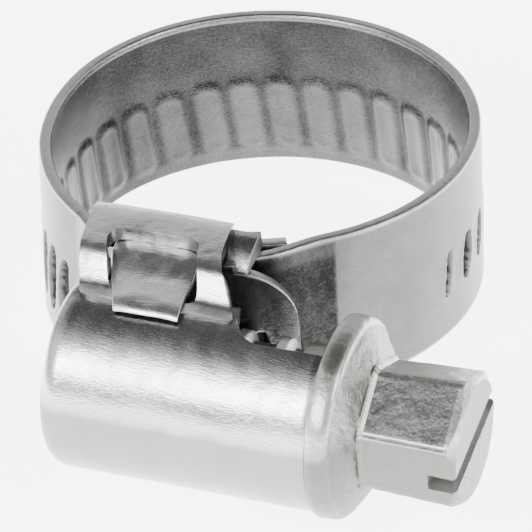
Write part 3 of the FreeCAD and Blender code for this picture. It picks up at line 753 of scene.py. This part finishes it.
def screw():
    nt = 240
    turn = -24.3
    cols = []
    # (x, kind) stations
    worm_x = np.concatenate([[-2.6, -2.55, -2.45, -2.3], np.linspace(-2.2, 8.0, 250)])
    out = []
    for x in worm_x:
        out.append((x, "worm"))
    out += [(8.1, "shank"), (8.6, "shank"), (9.2, "shank"), (9.66, "shank")]
    C0, CT = 9.72, 1.25
    rim = [(C0 + 0.00, 4.78), (C0 + 0.03, 4.88), (C0 + 0.10, 4.96), (C0 + 0.22, 5.0), (C0 + 0.5, 5.0), (C0 + 0.8, 4.985), (C0 + 1.0, 4.94), (C0 + 1.12, 4.86), (C0 + 1.20, 4.76), (C0 + 1.24, 4.62)]
    back = [(C0, 3.6), (C0, 4.2)]
    for x, r in back + rim:
        out.append((x, r))
    # gently domed, cast-rough front of the collar, running up to the hexagon
    for k in range(1, 15):
        f = k / 14
        out.append((C0 + 1.24 + 0.86 * f ** 0.9, 4.62 - 1.28 * f))
    hexx = np.concatenate([[11.86, 11.95, 12.1], np.linspace(12.3, 16.1, 34), np.linspace(16.16, 16.70, 22)])
    for x in hexx:
        out.append((x, "hex"))
    V, T = [], []

    def worm_r(x, th):
        # crest phase: at x = 0 on the +Y side (th = 0), right hand
        ph = ((x - LEAD * th / (2 * math.pi)) / LEAD) % 1.0
        q = min(ph, 1 - ph) * LEAD          # distance along x from the crest
        h = 1 - smooth01((q - 0.20) / 0.36)
        end = smooth01((x + 2.6) / 0.5) * (1 - smooth01((x - 7.7) / 0.4))
        return 2.80 + 0.50 * h * end, h

    flats = 5.95 / 2
    for x, kind in out:
        for j in range(nt):
            th = 2 * math.pi * j / nt + math.radians(turn)
            painted_light = 1.0
            if kind == "worm":
                r, h = worm_r(x, th)
                r -= 0.3 * (1 - smooth01((x + 2.6) / 0.3))
                # painted shade: thread roots darker than the crests
                painted_light = 0.35 + 0.65 * h
            elif kind == "shank":
                r = 3.28
                # painted shade on the shank inside the barrel
                painted_light = 0.5
            elif kind == "hex":
                k = (math.degrees(th) - turn) % 60 - 30
                fl = flats + (16.7 - x) * math.tan(math.radians(0.0))
                fl = flats + (x - 11.27) * math.tan(math.radians(2.2)) - 0.10
                fl = min(fl, flats + 0.10)
                rh = fl / math.cos(math.radians(k))
                rc = (fl / math.cos(math.radians(30))) - 0.10 * (abs(k) / 30) ** 8
                r = min(rh, rc)
                # corners worn round
                r -= 0.05 * smooth01((abs(k) - 25) / 5)
                # 30 degree end chamfer, with a soft edge
                lim = (flats - 0.06) + (16.70 - x) * 1.45
                if x > 16.1:
                    r = min(r, lim)
                if x < 12.1:
                    # meets the collar in a small cast fillet
                    r += 0.25 * (1 - smooth01((x - 11.8) / 0.35))
                r += 0.020 * noise.noise(Vector((x * 1.6, r * math.cos(th) * 1.4, r * math.sin(th) * 1.4)))
                painted_light = 0.82
            else:
                r = kind
                if x > C0 + 0.02:
                    r += 0.030 * noise.noise(Vector((x * 1.0, r * math.cos(th) * 0.7, r * math.sin(th) * 0.7)))
                    if x > C0 + 1.0:
                        r += 0.028 * noise.noise(Vector((x * 2.0, r * math.cos(th) * 2.2, r * math.sin(th) * 2.2)))
            V.append((x, YS + r * math.cos(th), ZS + r * math.sin(th)))
            # painted shade: collar from x 10 on drawn darker
            if not isinstance(kind, str) and x > 10.0:
                painted_light *= 0.78
            T.append(painted_light)
    nst = len(out)
    F = grid_faces(nst, nt)
    F = []
    for i in range(nst - 1):
        for j in range(nt):
            a, b = i * nt + j, i * nt + (j + 1) % nt
            F.append((a, b, b + nt, a + nt))
    F.append(tuple(range(nt))[::-1])
    # end face: rings to the centre so that the surface can be uneven
    last = (nst - 1) * nt
    prev = last
    for f in (0.92, 0.78, 0.6, 0.4, 0.2):
        base = len(V)
        for j in range(nt):
            x, y, z = V[last + j]
            V.append((16.70 + 0.0, YS + (y - YS) * f, ZS + (z - ZS) * f))
            T.append(0.95)
        for j in range(nt):
            F.append((prev + j, prev + (j + 1) % nt, base + (j + 1) % nt, base + j))
        prev = base
    F.append(tuple(prev + j for j in range(nt)))
    o = make("worm_screw_shell", V, F, SCRW, painted_light=T)
    bm = bmesh.new()
    bm.from_mesh(o.data)
    bmesh.ops.recalc_face_normals(bm, faces=bm.faces)
    bm.to_mesh(o.data)
    bm.free()
    # driver slot
    a = math.radians(12.7)
    hw, dp = 0.425, 1.4
    cv = []
    for x in (16.7 - dp, 17.6):
        for u, w in ((-5, -hw), (5, -hw), (5, hw), (-5, hw)):
            cv.append((x, YS + math.cos(a) * u - math.sin(a) * w, ZS + math.sin(a) * u + math.cos(a) * w))
    cf = [(0, 1, 2, 3), (7, 6, 5, 4), (0, 4, 5, 1), (1, 5, 6, 2), (2, 6, 7, 3), (3, 7, 4, 0)]
    # the cutter's painted light level of 1.6 is meant to brighten the slot walls
    cutter = make("slot_cutter", cv, cf, ROUGH, smooth=False, painted_light=[1.6] * 8)
    bm = bmesh.new()
    bm.from_mesh(cutter.data)
    bmesh.ops.recalc_face_normals(bm, faces=bm.faces)
    bm.to_mesh(cutter.data)
    bm.free()
    m = o.modifiers.new("slot", "BOOLEAN")
    m.operation, m.object, m.solver = "DIFFERENCE", cutter, "EXACT"
    m = o.modifiers.new("edge", "BEVEL")
    m.width, m.segments, m.limit_method, m.angle_limit = 0.05 * MM, 2, "ANGLE", math.radians(62)
    bake(o)
    bpy.data.objects.remove(cutter)
    sharp(o, 30)
    # the collar's front is rougher; the upper hexagon face, picked by which way it faces, is rougher and gets a much
    # darker base colour as painted shade
    o.data.materials.append(ROUGH) if len(o.data.materials) < 2 else None
    idx = {mt.name: i for i, mt in enumerate(o.data.materials)}
    ri = idx.get("screw_cast_steel", 0)
    si = idx.get("screw_steel", 0)
    o.data.materials.append(HEX_TOP_SHADE)
    hi = len(o.data.materials) - 1
    o.data.materials.append(SLOT_PAINTED_LIGHT)
    ki = len(o.data.materials) - 1
    for p in o.data.polygons:
        c = p.center
        x = c[0] / MM
        n = p.normal
        if 10.95 < x < 12.0:
            p.material_index = ri
        elif 12.15 < x < 16.15 and n[2] > 0.6 and n[1] < -0.35 and abs(n[0]) < 0.3:
            p.material_index = hi
        # painted light: slot walls and floor get the bright slot steel
        elif x > 15.2 and abs(n[0]) < 0.3 and math.hypot(c[1] / MM - YS, c[2] / MM - ZS) < 2.6:
            p.material_index = ki
        elif 15.2 < x < 15.5 and n[0] > 0.8:
            p.material_index = ki
        else:
            p.material_index = si
    return o


sc = screw()
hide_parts("worm_screw")
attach(sc, "screw")

# ------------------------------------------------------------------ camera
AZ, EL, ROLL, DIST, FPX = math.radians(21.69), math.radians(33.44), math.radians(-2.84), 0.2425, 4722.4
TX, TY = -1.55, -68.87
back = Vector((math.sin(AZ) * math.cos(EL), -math.cos(AZ) * math.cos(EL), math.sin(EL)))
right = Vector((math.cos(AZ), math.sin(AZ), 0))
up = back.cross(right)
r2 = right * math.cos(ROLL) + up * math.sin(ROLL)
u2 = -right * math.sin(ROLL) + up * math.cos(ROLL)
cam_data = bpy.data.cameras.new("camera")
cam = link(bpy.data.objects.new("camera", cam_data))
cam_data.sensor_width = 36.0
cam_data.lens = 36.0 * FPX / 532.0
cam_data.shift_x = -TX / 532.0
cam_data.shift_y = TY / 532.0
cam_data.clip_start, cam_data.clip_end = 0.01, 10
m = Matrix.Identity(4)
for i in range(3):
    m[i][0], m[i][1], m[i][2], m[i][3] = r2[i], u2[i], back[i], back[i] * DIST
cam.matrix_world = m
SC.camera = cam

# ------------------------------------------------------------------ floor and light
me = bpy.data.meshes.new("floor")
zf = CAD_BOX[0][2]
me.from_pydata([(-1.5, -1.5, zf), (1.5, -1.5, zf), (1.5, 1.5, zf), (-1.5, 1.5, zf)], [], [(0, 1, 2, 3)])
fl = link(bpy.data.objects.new("floor", me))
mt = bpy.data.materials.new("floor_white")
mt.use_nodes = True
fb = mt.node_tree.nodes["Principled BSDF"]
fb.inputs["Base Color"].default_value = (0.9, 0.9, 0.9, 1)
fb.inputs["Roughness"].default_value = 0.9
fb.inputs["Specular IOR Level"].default_value = 0.1
fb.inputs["Emission Color"].default_value = (1, 1, 1, 1)
fb.inputs["Emission Strength"].default_value = 6.0
me.materials.append(mt)

w = bpy.data.worlds.new("studio")
SC.world = w
w.use_nodes = True
nt = w.node_tree
bg = nt.nodes["Background"]
tc = nt.nodes.new("ShaderNodeTexCoord")
sep = nt.nodes.new("ShaderNodeSeparateXYZ")
nt.links.new(tc.outputs["Generated"], sep.inputs[0])
# brightness by height above the horizon: white walls in front, a darker ceiling
asin = nt.nodes.new("ShaderNodeMath")
asin.operation = "ARCSINE"
nt.links.new(sep.outputs["Z"], asin.inputs[0])
h = nt.nodes.new("ShaderNodeMapRange")
h.inputs["From Min"].default_value, h.inputs["From Max"].default_value = -math.pi / 2, math.pi / 2
nt.links.new(asin.outputs[0], h.inputs["Value"])


def ramp(stops):
    r = nt.nodes.new("ShaderNodeValToRGB")
    r.color_ramp.interpolation = "EASE"
    el = r.color_ramp.elements
    while len(el) > 1:
        el.remove(el[-1])
    el[0].position, el[0].color = stops[0][0], (stops[0][1],) * 3 + (1,)
    for p, v in stops[1:]:
        e = el.new(p)
        e.color = (v,) * 3 + (1,)
    nt.links.new(h.outputs["Result"], r.inputs["Fac"])
    return r


def hz(deg):
    return 0.5 + deg / 180.0


front = ramp([(0.0, 0.8), (hz(0), 0.66), (hz(16), 0.60), (hz(22), 1.0), (hz(58), 1.0), (hz(67), 0.36), (hz(75), 0.09), (1.0, 0.07)])
rear = ramp([(0.0, 0.8), (hz(0), 0.80), (hz(30), 0.78), (hz(39), 0.66), (hz(47), 0.18), (hz(62), 0.08), (1.0, 0.07)])
fr = nt.nodes.new("ShaderNodeMapRange")
fr.inputs["From Min"].default_value, fr.inputs["From Max"].default_value = -0.25, 0.25
nt.links.new(sep.outputs["Y"], fr.inputs["Value"])
mx = nt.nodes.new("ShaderNodeMix")
mx.data_type = "RGBA"
nt.links.new(fr.outputs["Result"], mx.inputs["Factor"])
nt.links.new(front.outputs["Color"], mx.inputs["A"])
nt.links.new(rear.outputs["Color"], mx.inputs["B"])
nt.links.new(mx.outputs["Result"], bg.inputs["Color"])
bg.inputs["Strength"].default_value = 1.25


def area(name, loc, target, size, energy):
    ld = bpy.data.lights.new(name, "AREA")
    ld.energy, ld.size = energy, size
    lo = link(bpy.data.objects.new(name, ld))
    lo.location = loc
    lo.rotation_euler = (Vector(loc) - Vector(target)).to_track_quat("Z", "Y").to_euler()
    return lo


area("key", (-0.10, -0.34, 0.26), (0, -0.005, 0), 0.16, 1.3)
area("side", (0.34, -0.05, 0.20), (0, 0, 0), 0.16, 0.55)
